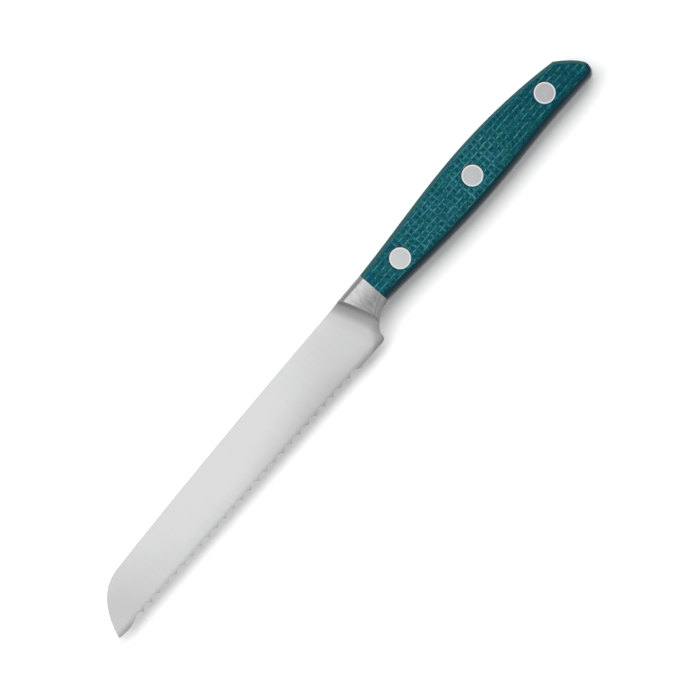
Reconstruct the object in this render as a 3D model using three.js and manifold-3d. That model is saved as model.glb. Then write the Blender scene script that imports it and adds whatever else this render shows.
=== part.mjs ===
// A serrated utility knife: one forging (blade, bolster and full tang), two handle scales
// and three cutler's rivets, each rivet a solid pin half pressed into a hollow tube half.
// Millimetres, +Z up. The knife lies on its right face: +X runs from tip to butt, +Y to the spine.
import * as THREE from 'three';
import { mergeVertices } from 'three/addons/utils/BufferGeometryUtils.js';
import Module from 'manifold-3d';

const wasm = await Module();
wasm.setup();

// Lengths are measured from the joint between bolster and scales, heights from the line of rivets.
const blade_length = 130;
const bolster_length = 8.6;
const handle_length = 99.4;
const handle_thickness = 13;
const tang_thickness = 2.4;

// Spine of the handle, from the joint over the crest to the corner of the butt.
const spine_at_joint = 6.3;
const spine_slope = 0.04;
const crest_from_joint = 49.8;
const crest_height = 9.1;
const corner_from_butt = 6.9;
const corner_height = 4.85;
const corner_slope = 0.205;

// Butt face, from the spine corner down to the rounded lower corner.
const butt_lean = 0.85;
const butt_swell = 2.45;
const butt_corner_radius = 3.0;

// Belly of the handle, from the lower corner over the waist and the swell to the joint.
const belly_at_butt = -7.1;
const waist_from_joint = 81.3;
const waist_height = -7.0;
const swell_from_joint = 48;
const swell_height = -7.85;
const belly_at_joint = -5.15;
const belly_slope = -0.078;

// Finger notch between the belly and the heel of the blade.
const notch_reach = 9.55;
const notch_lead = 5.2;
const notch_fall = 0.35;
const notch_drop = 2.1;
const notch_back = 0.4;
const heel_radius = 1.9;

// Side outline of the blade: a straight edge, a gently falling spine and a rounded sheepsfoot point.
const heel_height = -13.0;
const edge_end_height = -12.39;
const edge_end_from_tip = 5.4;
const tip_height = -11.94;
const knee_from_tip = 16.6;
const knee_height = 3.3;
const spine_lead = 45;
const spine_lead_height = 6.0;
const spine_trail = 37;
const spine_trail_height = 5.2;
const point_lead = 6.5;
const point_lead_fall = 0.35;
const point_trail = 4.1;
const point_trail_height = -0.45;

// Blade section: flat ground from the edge line to the spine, with a bevel on the left face.
const edge_thickness = 0.5;
const heel_spine_thickness = 2.0;
const bevel_height = 1.2;
const edge_land = 0.1;

// Serrations, ground into the right face only.
const flute_count = 27;
const flute_pitch = 4.0;
const first_flute_from_tip = 9.7;
const flute_depth = 1.1;
const flute_radius = 3.45;
const flute_angle = 15;
const lead_in_length = 4.3;

// Bolster: a raked ridge, a hollow down to the flank of the blade and a slight taper of its faces.
const ridge_rake = 17.4;
const bolster_hollow_radius = 5.5;
const bolster_taper = 0.5;

// Rounded edges of the handle: width across the face and depth down the side.
const spine_round_width = 1.2;
const spine_round_depth = 2.0;
const butt_round_width = 1.0;
const butt_round_depth = 1.6;
const belly_round_width = 3.2;
const belly_round_depth = 4.4;
const heel_round_width = 2.0;
const heel_round_depth = 3.2;
const notch_round_width = 0.8;
const notch_round_depth = 3.0;

// Rivets.
const rivet_names = ['front', 'middle', 'rear'];
const first_rivet = 12.7;
const rivet_pitch = 35.25;
const rivet_head_radius = 3.55;
const rivet_head_thickness = 1.3;
const rivet_head_chamfer = 0.15;
const tube_radius = 2.2;
const pin_radius = 1.5;
const pin_gap_at_end = 0.8;
const tube_floor = 1.2;
const tube_gap_at_head = 1.7;
const head_clearance = 0.05;
const hole_clearance = 0.1;
const pin_clearance = 0.05;

// Facets.
const curve_steps = 12;
const round_steps = 6;
const round_facets = 36;
const flute_facets = 48;
const hollow_steps = 12;
const reach = 30;

const steel = new THREE.MeshStandardMaterial({ color: 0xc4c6c8, roughness: 0.35, metalness: 1 });
const rivet_steel = new THREE.MeshStandardMaterial({ color: 0xcfcdcf, roughness: 0.3, metalness: 1 });
const canvas = new THREE.MeshStandardMaterial({ color: 0x145e74, roughness: 0.55, metalness: 0 });

const half_handle = handle_thickness / 2;
const half_tang = tang_thickness / 2;
const tip_x = -(blade_length + bolster_length);

// Geometry helpers.

function solid(geometry) {
  const bare = geometry.clone();
  bare.deleteAttribute('normal');
  bare.deleteAttribute('uv');
  const merged = mergeVertices(bare, 1e-5);
  const vertProperties = new Float32Array(merged.attributes.position.array);
  const triVerts = new Uint32Array(merged.index.array);
  return new wasm.Manifold(new wasm.Mesh({ numProp: 3, vertProperties, triVerts }));
}

function shell(manifold) {
  const cut = manifold.getMesh();
  const geometry = new THREE.BufferGeometry();
  geometry.setAttribute('position', new THREE.BufferAttribute(new Float32Array(cut.vertProperties), 3));
  geometry.setIndex(new THREE.BufferAttribute(new Uint32Array(cut.triVerts), 1));
  geometry.computeVertexNormals();
  return geometry;
}

function cut_away(body, cutters) {
  let left = solid(body);
  for (const cutter of cutters) {
    left = left.subtract(solid(cutter));
  }
  return shell(left);
}

// The same body seen in the plane of the blade, with its triangles turned the right way out again.
function mirrored(geometry) {
  const twin = geometry.clone().scale(1, 1, -1);
  const index = twin.index.array;
  for (let i = 0; i < index.length; i += 3) {
    const first = index[i];
    index[i] = index[i + 1];
    index[i + 1] = first;
  }
  twin.computeVertexNormals();
  return twin;
}

function bezier(x0, y0, x1, y1, x2, y2, x3, y3) {
  const start = new THREE.Vector2(x0, y0);
  const lead = new THREE.Vector2(x1, y1);
  const trail = new THREE.Vector2(x2, y2);
  return new THREE.CubicBezierCurve(start, lead, trail, new THREE.Vector2(x3, y3));
}

// A curve whose handles lie a third of the way along, with the given slopes at its ends.
function sweep(x0, y0, slope0, x1, y1, slope1) {
  const third = (x1 - x0) / 3;
  return bezier(x0, y0, x0 + third, y0 + third * slope0, x1 - third, y1 - third * slope1, x1, y1);
}

// Points of a curve without its last one, each with its edge rounding blended from start to end.
function run(curve, steps, round0, round1) {
  const points = curve.getPoints(steps).slice(0, steps);
  return points.map((point, i) => {
    const part = i / steps;
    const width = THREE.MathUtils.lerp(round0[0], round1[0], part);
    const depth = THREE.MathUtils.lerp(round0[1], round1[1], part);
    return { x: point.x, y: point.y, width, depth };
  });
}

// Outward normals of a closed outline; the two points on the joint keep theirs across the handle.
function with_normals(outline) {
  const count = outline.length;
  return outline.map((point, i) => {
    const before = outline[(i + count - 1) % count];
    const after = outline[(i + 1) % count];
    const along = new THREE.Vector2(after.x - before.x, after.y - before.y).normalize();
    if (point.x === 0) {
      along.set(point.y < 0 ? 1 : -1, 0);
    }
    return { ...point, nx: along.y, ny: -along.x };
  });
}

// One ring of the rounded upper edge, at a step from the upright wall (0) to the flat face.
function round_ring(outline, step) {
  const turn = (step / round_steps) * (Math.PI / 2);
  return outline.map((point) => {
    const inset = point.width * (1 - Math.cos(turn));
    const z = half_handle - point.depth * (1 - Math.sin(turn));
    return new THREE.Vector3(point.x - point.nx * inset, point.y - point.ny * inset, z);
  });
}

function flat_ring(outline, z) {
  return outline.map((point) => new THREE.Vector3(point.x, point.y, z));
}

// Closed body through rings of equal count, from the lowest to the highest.
function loft(rings) {
  const count = rings[0].length;
  const index = [];
  for (let r = 0; r + 1 < rings.length; r += 1) {
    for (let i = 0; i < count; i += 1) {
      const a = r * count + i;
      const b = r * count + ((i + 1) % count);
      index.push(a, b, b + count, a, b + count, a + count);
    }
  }
  const top = (rings.length - 1) * count;
  for (const [a, b, c] of THREE.ShapeUtils.triangulateShape(rings[0], [])) {
    index.push(c, b, a);
  }
  for (const [a, b, c] of THREE.ShapeUtils.triangulateShape(rings[rings.length - 1], [])) {
    index.push(top + a, top + b, top + c);
  }
  const geometry = new THREE.BufferGeometry().setFromPoints(rings.flat());
  geometry.setIndex(index);
  return geometry;
}

// Side outline of the knife, anticlockwise from the tip.

const edge_end_x = tip_x + edge_end_from_tip;
const heel_x = -notch_reach;
const heel_edge_x = heel_x - heel_radius;
const edge_slope = (edge_end_height - heel_height) / (edge_end_x - heel_edge_x);
const corner_x = handle_length - corner_from_butt;
const knee_x = tip_x + knee_from_tip;

const none = [0, 1];
const spine_round = [spine_round_width, spine_round_depth];
const butt_round = [butt_round_width, butt_round_depth];
const belly_round = [belly_round_width, belly_round_depth];
const heel_round = [heel_round_width, heel_round_depth];
const notch_round = [notch_round_width, notch_round_depth];

const tip_edge = new THREE.QuadraticBezierCurve(
  new THREE.Vector2(tip_x, tip_height),
  new THREE.Vector2((tip_x + edge_end_x) / 2, edge_end_height - edge_slope * edge_end_from_tip / 2),
  new THREE.Vector2(edge_end_x, edge_end_height),
);
const straight_edge = new THREE.LineCurve(
  new THREE.Vector2(edge_end_x, edge_end_height),
  new THREE.Vector2(heel_edge_x, heel_height),
);
const heel_corner = new THREE.QuadraticBezierCurve(
  new THREE.Vector2(heel_edge_x, heel_height),
  new THREE.Vector2(heel_x, heel_height),
  new THREE.Vector2(heel_x, heel_height + heel_radius),
);
const notch = bezier(
  heel_x, heel_height + heel_radius,
  heel_x + notch_back, heel_height + heel_radius + notch_drop,
  -notch_lead, belly_at_joint - notch_fall,
  0, belly_at_joint,
);
const belly_front = sweep(0, belly_at_joint, belly_slope, swell_from_joint, swell_height, 0);
const belly_rear = sweep(swell_from_joint, swell_height, 0, waist_from_joint, waist_height, 0);
const belly_heel = sweep(
  waist_from_joint, waist_height, 0,
  handle_length - butt_corner_radius, belly_at_butt, 0,
);
const butt_low = belly_at_butt + butt_corner_radius;
const butt_corner = new THREE.EllipseCurve(
  handle_length - butt_corner_radius, butt_low,
  butt_corner_radius, butt_corner_radius,
  -Math.PI / 2, 0,
);
const butt_face = bezier(
  handle_length, butt_low,
  handle_length, butt_low + butt_swell,
  corner_x + corner_from_butt / 3, corner_height - butt_lean * corner_from_butt / 3,
  corner_x, corner_height,
);
const spine_rear = sweep(corner_x, corner_height, -corner_slope, crest_from_joint, crest_height, 0);
const spine_front = sweep(crest_from_joint, crest_height, 0, 0, spine_at_joint, spine_slope);
const blade_spine = bezier(
  0, spine_at_joint,
  -spine_lead, spine_lead_height,
  knee_x + spine_trail, spine_trail_height,
  knee_x, knee_height,
);
const point_curve = bezier(
  knee_x, knee_height,
  knee_x - point_lead, knee_height - point_lead_fall,
  tip_x + point_trail, point_trail_height,
  tip_x, tip_height,
);

const handle_outline = with_normals([
  ...run(belly_front, curve_steps, belly_round, belly_round),
  ...run(belly_rear, curve_steps / 2, belly_round, belly_round),
  ...run(belly_heel, curve_steps / 2, belly_round, heel_round),
  ...run(butt_corner, curve_steps / 2, heel_round, butt_round),
  ...run(butt_face, curve_steps / 2, butt_round, spine_round),
  ...run(spine_rear, curve_steps, spine_round, spine_round),
  ...run(spine_front, curve_steps, spine_round, spine_round),
  { x: 0, y: spine_at_joint, width: spine_round_width, depth: spine_round_depth },
]);
const knife_outline = with_normals([
  ...run(tip_edge, curve_steps / 3, none, none),
  ...run(straight_edge, 1, none, none),
  ...run(heel_corner, curve_steps / 3, none, none),
  ...run(notch, curve_steps, notch_round, belly_round),
  ...handle_outline.slice(0, -1),
  ...run(blade_spine, 2 * curve_steps, spine_round, none),
  ...run(point_curve, curve_steps, none, none),
]);

// Flank of the blade: half thickness at any point, growing from the edge line to the spine.
const edge_line = new THREE.Vector2(1, edge_slope).normalize();
const heel_spine_rise = spine_at_joint - heel_height;
const flank_growth = (heel_spine_thickness - edge_thickness) / 2 / heel_spine_rise;

function above_edge(x, y) {
  return (y - heel_height) * edge_line.x - (x - heel_edge_x) * edge_line.y;
}

function half_blade(x, y) {
  return edge_thickness / 2 + flank_growth * above_edge(x, y);
}

// Moves a body up so that its zero plane becomes the left flank of the blade.
function on_flank(geometry) {
  const places = geometry.attributes.position;
  for (let i = 0; i < places.count; i += 1) {
    const rise = half_blade(places.getX(i), places.getY(i));
    places.setZ(i, places.getZ(i) + rise);
  }
  return geometry;
}

// Cutters for the forging.

function grind_cutter() {
  const profile = new THREE.Shape();
  const far = blade_length + reach;
  profile.moveTo(far, 0);
  profile.lineTo(far, reach);
  profile.lineTo(0, reach);
  profile.lineTo(0, bolster_hollow_radius);
  for (let i = 1; i <= hollow_steps; i += 1) {
    const turn = (Math.PI / 2) * (1 - i / hollow_steps);
    const along = bolster_hollow_radius * (1 - Math.sin(turn));
    profile.lineTo(along, bolster_hollow_radius * (1 - Math.cos(turn)));
  }
  const block = new THREE.ExtrudeGeometry(profile, { depth: 2 * blade_length, bevelEnabled: false });
  // The profile lies across the ridge: its run points forward, its rise out of the face.
  const rake = THREE.MathUtils.degToRad(ridge_rake);
  const forward = new THREE.Vector3(-Math.cos(rake), -Math.sin(rake), 0);
  const out = new THREE.Vector3(0, 0, 1);
  const ridge = new THREE.Vector3().crossVectors(forward, out);
  block.translate(0, 0, -blade_length);
  block.applyMatrix4(new THREE.Matrix4().makeBasis(forward, out, ridge));
  block.translate(-bolster_length, 0, 0);
  return on_flank(mergeVertices(block.deleteAttribute('normal').deleteAttribute('uv')));
}

function taper_cutter() {
  const profile = new THREE.Shape();
  const slope = bolster_taper / bolster_length;
  profile.moveTo(0, half_handle);
  profile.lineTo(0, reach);
  profile.lineTo(-reach, reach);
  profile.lineTo(-reach, half_handle - slope * reach);
  const block = new THREE.ExtrudeGeometry(profile, { depth: 2 * reach, bevelEnabled: false });
  block.rotateX(Math.PI / 2);
  block.translate(0, reach, 0);
  return mergeVertices(block.deleteAttribute('normal').deleteAttribute('uv'));
}

function tang_pocket() {
  const tall = half_handle - half_tang + reach;
  const block = new THREE.BoxGeometry(handle_length + reach, 2 * reach, tall);
  block.translate((handle_length + reach) / 2, 0, half_tang + tall / 2);
  return mergeVertices(block.deleteAttribute('normal').deleteAttribute('uv'));
}

function bevel_cutter() {
  const drop = (edge_thickness - edge_land) / bevel_height;
  const profile = new THREE.Shape();
  profile.moveTo(2 * bevel_height, bevel_height * drop);
  profile.lineTo(2 * bevel_height, reach / 10);
  profile.lineTo(-bevel_height, reach / 10);
  profile.lineTo(-bevel_height, -2 * bevel_height * drop);
  const block = new THREE.ExtrudeGeometry(profile, { depth: blade_length + reach, bevelEnabled: false });
  const backward = new THREE.Vector3(edge_line.x, edge_line.y, 0);
  const up = new THREE.Vector3(-edge_line.y, edge_line.x, 0);
  block.applyMatrix4(new THREE.Matrix4().makeBasis(up, new THREE.Vector3(0, 0, 1), backward));
  block.translate(edge_end_x - reach / 2, edge_end_height - edge_slope * reach / 2, 0);
  return on_flank(mergeVertices(block.deleteAttribute('normal').deleteAttribute('uv')));
}

const flute_tilt = THREE.MathUtils.degToRad(flute_angle);
const first_flute_x = tip_x + first_flute_from_tip;

// Puts a body made along Y onto the floor of a flute that meets the left face above the edge at x.
function on_flute(geometry, x) {
  const edge_y = heel_height + edge_slope * (x - heel_edge_x);
  const floor_y = edge_y + flute_depth;
  geometry.rotateX(-flute_tilt);
  geometry.translate(x, floor_y, half_blade(x, floor_y));
  return geometry;
}

function flute_cutter(x) {
  const length = 2 * reach;
  const wheel = new THREE.CylinderGeometry(flute_radius, flute_radius, length, flute_facets);
  wheel.translate(0, 0, -flute_radius);
  return on_flute(wheel, x);
}

// A flat ramp that leads from the smooth edge at the point into the first flute.
function lead_in_cutter() {
  const fall = flute_depth * Math.sin(flute_tilt + Math.atan((edge_thickness - edge_land) / bevel_height));
  const profile = new THREE.Shape();
  profile.moveTo(0, 0);
  profile.lineTo(-2 * lead_in_length, -2 * fall);
  profile.lineTo(-2 * lead_in_length, -flute_radius);
  profile.lineTo(0, -flute_radius);
  const block = new THREE.ExtrudeGeometry(profile, { depth: 2 * reach, bevelEnabled: false });
  block.translate(0, 0, -reach);
  block.rotateX(Math.PI / 2);
  return on_flute(block, first_flute_x);
}

function bore(x, radius, low, high) {
  const length = high - low;
  const drill = new THREE.CylinderGeometry(radius, radius, length, round_facets);
  drill.rotateX(Math.PI / 2);
  drill.translate(x, 0, (low + high) / 2);
  return drill;
}

const rivets = rivet_names.map((name, i) => ({ name, x: first_rivet + i * rivet_pitch }));
const hole_radius = tube_radius + hole_clearance;

// The forging, ground and drilled out of one rounded blank.
const blank_rings = [];
for (let step = round_steps; step >= 0; step -= 1) {
  blank_rings.push(round_ring(knife_outline, step).map((point) => point.setZ(-point.z)));
}
for (let step = 0; step <= round_steps; step += 1) {
  blank_rings.push(round_ring(knife_outline, step));
}
const forging_cutters = [
  taper_cutter(),
  mirrored(taper_cutter()),
  grind_cutter(),
  mirrored(grind_cutter()),
  tang_pocket(),
  mirrored(tang_pocket()),
  bevel_cutter(),
  lead_in_cutter(),
];
for (let i = 0; i < flute_count; i += 1) {
  forging_cutters.push(flute_cutter(first_flute_x + i * flute_pitch));
}
for (const rivet of rivets) {
  forging_cutters.push(bore(rivet.x, hole_radius, -half_handle, half_handle));
}
const forging = cut_away(loft(blank_rings), forging_cutters);

// One scale, lying on the left face of the tang; the right one is its mirror image.
const scale_rings = [flat_ring(handle_outline, half_tang)];
for (let step = 0; step <= round_steps; step += 1) {
  scale_rings.push(round_ring(handle_outline, step));
}
const scale_cutters = [];
const head_seat = half_handle - rivet_head_thickness;
for (const rivet of rivets) {
  scale_cutters.push(bore(rivet.x, hole_radius, 0, handle_thickness));
  scale_cutters.push(bore(rivet.x, rivet_head_radius + head_clearance, head_seat, handle_thickness));
}
const scale = cut_away(loft(scale_rings), scale_cutters);

// Rivet halves, turned about their own axis.
function turned(profile) {
  const points = profile.map(([radius, height]) => new THREE.Vector2(radius, height));
  const body = new THREE.LatheGeometry(points, round_facets);
  body.rotateX(Math.PI / 2);
  return body;
}

const tube_bottom = -half_handle + tube_floor;
const pin_end = tube_bottom + pin_gap_at_end;
const tube_end = head_seat - tube_gap_at_head;
const bore_radius = pin_radius + pin_clearance;
const pin_half = turned([
  [0, pin_end],
  [pin_radius, pin_end],
  [pin_radius, head_seat],
  [rivet_head_radius, head_seat],
  [rivet_head_radius, half_handle - rivet_head_chamfer],
  [rivet_head_radius - rivet_head_chamfer, half_handle],
  [0, half_handle],
]);
const tube_half = turned([
  [0, -half_handle],
  [rivet_head_radius - rivet_head_chamfer, -half_handle],
  [rivet_head_radius, -half_handle + rivet_head_chamfer],
  [rivet_head_radius, -head_seat],
  [tube_radius, -head_seat],
  [tube_radius, tube_end],
  [bore_radius, tube_end],
  [bore_radius, tube_bottom],
  [0, tube_bottom],
]);

// The knife, put together and set with the middle of its underside on the origin.
const knife = new THREE.Group();
knife.name = 'serrated_utility_knife';

function add(name, geometry, material) {
  const mesh = new THREE.Mesh(geometry, material);
  mesh.name = name;
  knife.add(mesh);
  return mesh;
}

add('forged_blade', forging, steel);
add('left_scale', scale, canvas);
add('right_scale', mirrored(scale), canvas);
for (const rivet of rivets) {
  add(`rivet_${rivet.name}_pin`, pin_half.clone(), rivet_steel).position.x = rivet.x;
  add(`rivet_${rivet.name}_tube`, tube_half.clone(), rivet_steel).position.x = rivet.x;
}

const extent = new THREE.Box3().setFromObject(knife);
const middle = extent.getCenter(new THREE.Vector3());
knife.position.set(-middle.x, -middle.y, -extent.min.z);

export default knife;
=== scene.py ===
import math

import bmesh
import bpy
import numpy as np
from mathutils import Matrix, Vector


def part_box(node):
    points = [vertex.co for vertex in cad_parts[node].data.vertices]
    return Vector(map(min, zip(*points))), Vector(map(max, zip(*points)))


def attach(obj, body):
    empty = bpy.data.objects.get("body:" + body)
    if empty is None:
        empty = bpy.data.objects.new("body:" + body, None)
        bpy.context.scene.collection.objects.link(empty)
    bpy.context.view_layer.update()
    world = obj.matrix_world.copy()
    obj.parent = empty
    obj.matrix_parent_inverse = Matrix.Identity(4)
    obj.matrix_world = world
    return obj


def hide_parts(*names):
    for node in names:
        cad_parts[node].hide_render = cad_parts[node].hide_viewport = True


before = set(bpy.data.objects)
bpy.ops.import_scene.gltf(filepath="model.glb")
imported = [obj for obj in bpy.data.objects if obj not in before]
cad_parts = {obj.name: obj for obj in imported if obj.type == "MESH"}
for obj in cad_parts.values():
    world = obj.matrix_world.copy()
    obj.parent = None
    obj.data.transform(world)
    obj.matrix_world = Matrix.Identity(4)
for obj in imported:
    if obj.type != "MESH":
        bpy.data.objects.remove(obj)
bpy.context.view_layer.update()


# Forging. Blade, bolster and full tang are one bar of stainless steel, drop-forged and ground:
# flat flanks with a satin finish, a hollow that runs up to the bolster's ridge, and teeth that
# a narrow wheel has cut into the right face only, leaving the left face flat to the edge.

MM = 0.001

# Lengths are in millimetres from the joint of bolster and scales, heights from the rivet line.
joint_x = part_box("left_scale")[0].x
rivet_low, rivet_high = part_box("rivet_front_pin")
rivet_line = (rivet_low.y + rivet_high.y) / 2
mid_plane = (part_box("left_scale")[1].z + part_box("right_scale")[0].z) / 2
home = np.array([joint_x, rivet_line, mid_plane])

# Corners of the side outline, with the points that pull the curves between them.
tip = (-138.6, -11.94)
edge_end = (-133.2, -12.39)
heel_edge = (-11.45, -13.0)
heel_corner_top = (-9.55, -11.1)
notch_pulls = ((-9.15, -9.0), (-5.2, -5.5))
joint_belly = (0.0, -5.15)
joint_spine = (0.0, 6.3)
spine_pulls = ((-85.0, 5.2), (-45.0, 6.0))
knee = (-122.0, 3.3)
point_pulls = ((-134.5, -0.45), (-128.5, 2.95))
belly_slope = -0.078
belly_swell = (48.0, -7.85)
belly_waist = (81.3, -7.0)
belly_end = (96.4, -7.1)
butt_corner_radius = 3.0
butt_rise = (0, 2.45)
butt_pull = (94.8, 2.895)
butt_top = (92.5, 4.85)
butt_slope = -0.205
back_crown = (49.8, 9.1)
joint_slope = 0.04
half_handle = 6.5
half_tang = 1.2


def bezier(*points, steps=40):
    """Points along a Bezier curve of any degree."""
    share = np.linspace(0, 1, steps + 1)[:, None]
    line = [np.array(point, float) for point in points]
    while len(line) > 1:
        line = [a * (1 - share) + b * share for a, b in zip(line, line[1:])]
    return line[0]


def sweep(start, slope_out, end, slope_in, steps=40):
    """A fair curve with its handles a third of the way along and the given slopes at its ends."""
    third = (end[0] - start[0]) / 3
    lead = (start[0] + third, start[1] + third * slope_out)
    trail = (end[0] - third, end[1] - third * slope_in)
    return bezier(start, lead, trail, end, steps=steps)


edge_slope = (edge_end[1] - heel_edge[1]) / (edge_end[0] - heel_edge[0])
edge_run = Vector((1, edge_slope)).normalized()
tip_edge_bend = ((tip[0] + edge_end[0]) / 2, edge_end[1] - edge_slope * (edge_end[0] - tip[0]) / 2)
tip_edge = bezier(tip, tip_edge_bend, edge_end, steps=24)
heel_corner = bezier(heel_edge, (heel_corner_top[0], heel_edge[1]), heel_corner_top, steps=16)
notch_steps = 60
notch = bezier(heel_corner_top, *notch_pulls, joint_belly, steps=notch_steps)
point_curve = bezier(tip, *point_pulls, knee, steps=80)
spine_steps = 120
blade_spine = bezier(knee, *spine_pulls, joint_spine, steps=spine_steps)
belly = [
    sweep(joint_belly, belly_slope, belly_swell, 0, steps=30),
    sweep(belly_swell, 0, belly_waist, 0, steps=20),
    sweep(belly_waist, 0, belly_end, 0, steps=12),
]
quarter = np.linspace(-math.pi / 2, 0, 15)
corner_middle = np.array(belly_end) + (0, butt_corner_radius)
butt_corner = corner_middle + butt_corner_radius * np.stack([np.cos(quarter), np.sin(quarter)], axis=1)
butt_low = butt_corner[-1]
butt_face = bezier(butt_low, butt_low + butt_rise, butt_pull, butt_top, steps=22)
spine_rear = sweep(butt_top, butt_slope, back_crown, 0, steps=30)
spine_front = sweep(back_crown, 0, joint_spine, joint_slope, steps=34)

# How far the rounding of an edge reaches across the face, and down the side, along each outline.
notch_round = (0.8, 3.0)
belly_round = (3.2, 4.4)
blade_round = (0.01, 1.0)
spine_round = (1.7, 2.0)
spine_crease = 0.55
blade_low = np.concatenate([tip_edge, heel_corner, notch[1:]])
before_notch = np.zeros(len(tip_edge) + len(heel_corner))
along_notch = np.concatenate([before_notch, np.linspace(0, 1, notch_steps + 1)[1:]])
blade_high = np.concatenate([point_curve, blade_spine[1:]])
along_spine = np.concatenate([np.zeros(len(point_curve)), np.linspace(0, 1, spine_steps + 1)[1:]])

# Section of the blade and of the bolster.
edge_half = 0.25
spine_half = 1.0
flank_growth = (spine_half - edge_half) / (joint_spine[1] - heel_edge[1])
bevel_rise = 2.6
bevel_drop = 0.45
spine_softening = 0.16
ridge_x = -8.6
ridge_rake = math.radians(17.4)
hollow_radius = 5.5
ridge_softening = 0.25
ridge_bow = 0.4
bolster_draw = 0.5
bolster_taper = bolster_draw / -ridge_x
taper_start = 1.5 * ridge_x

# Teeth.
flute_count = 27
flute_pitch = 4.0
first_flute = -128.9
flute_radius = 3.78
flute_lean = math.radians(15)
gullet_rise = 0.68
lead_in_fall = 0.1409
lead_in_start = -136.5
tooth_land = 0.03
least_flute = 0.05


def above_edge(x, y):
    """Height over the straight line of the cutting edge."""
    return (y - heel_edge[1]) * edge_run.x - (x - heel_edge[0]) * edge_run.y


def quarter_round(distance, width, depth, crease=0.0):
    """How far a rounded edge has dropped at a distance in from the outline."""
    outward = np.clip(1 - distance / width, 0, 1)
    return depth * (crease * outward + (1 - crease) * (1 - np.sqrt(1 - outward ** 2)))


def smooth(low, high, value):
    """A smooth step from 0 at low to 1 at high."""
    share = np.clip((value - low) / (high - low), 0, 1)
    return share * share * (3 - 2 * share)


def spaced(values, least_gap=0.004):
    """Values in order, without those that lie closer together than the least gap."""
    ordered = np.unique(np.round(values, 4))
    return ordered[np.concatenate([[True], np.diff(ordered) > least_gap])]


# Stations along the blade: close together at the point, in each flute, at the heel and in the hollow.
steepest = 84
hollow_turn = np.radians(np.linspace(0, steepest, 30))
hollow_run = hollow_radius * (1 - np.sin(hollow_turn))
ridge_turn = np.radians(np.linspace(steepest, 0, 12))
ridge_margin = 0.4
ridge_foot = 0.02
ridge_run = np.concatenate([[ridge_foot, 0.0], ridge_softening * (np.sin(ridge_turn) - 1), [-ridge_margin]])
lean_start = -21.0
heel_start = heel_edge[0] + heel_edge[1] * math.tan(ridge_rake)
heel_end = heel_corner_top[0] + heel_corner_top[1] * math.tan(ridge_rake)
heel_margin = 0.05
teeth_limits = (lead_in_start, heel_start - 2 * heel_margin)
flutes_start = first_flute - flute_pitch / 2
flutes_end = flutes_start + flute_count * flute_pitch
stations_per_flute = 16
plain_step = 0.15
lean_step = 0.4
along_bolster = np.linspace(-7.9, -0.25, 22)
by_joint = np.array([-0.16, -0.08, 0.0])
stations = spaced(np.concatenate([
    tip[0] + (flutes_start - tip[0]) * np.linspace(0, 1, 30) ** 2,
    np.linspace(flutes_start, flutes_end, flute_count * stations_per_flute + 1),
    np.arange(flutes_end + plain_step, lean_start, plain_step),
    np.arange(lean_start, heel_start - plain_step, lean_step),
    np.linspace(heel_start - heel_margin, heel_end + heel_margin, 26),
    ridge_x - hollow_run / math.cos(ridge_rake),
    ridge_x - ridge_run / math.cos(ridge_rake),
    along_bolster,
    by_joint,
]))

# Rows of a station, in from its outline: the band that is ground into teeth, the rows past it,
# the rows of the rounded edges and those between, with the least room that they keep.
band_left = np.linspace(0, 1, 8)
band_right = np.array([0, 0.08, 0.18, 0.32, 0.48, 0.66, 0.84, 1.0])
band_right_width = 0.65
past_bevel = np.linspace(0.3, 4.2, 10)
past_flute = np.linspace(4.0, 5.8, 10)
round_share = 1 - np.cos(np.linspace(0, math.pi / 2, 9))
middle_share = np.linspace(0, 1, 10)[1:-1]
not_ground = 2.0
full_height = 9
slope_step = 0.05
least_tilt = 0.3
least_bevel = 0.3
least_round = 0.05
round_room = 0.3
least_height = 0.01
notch_margin = 0.4


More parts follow.
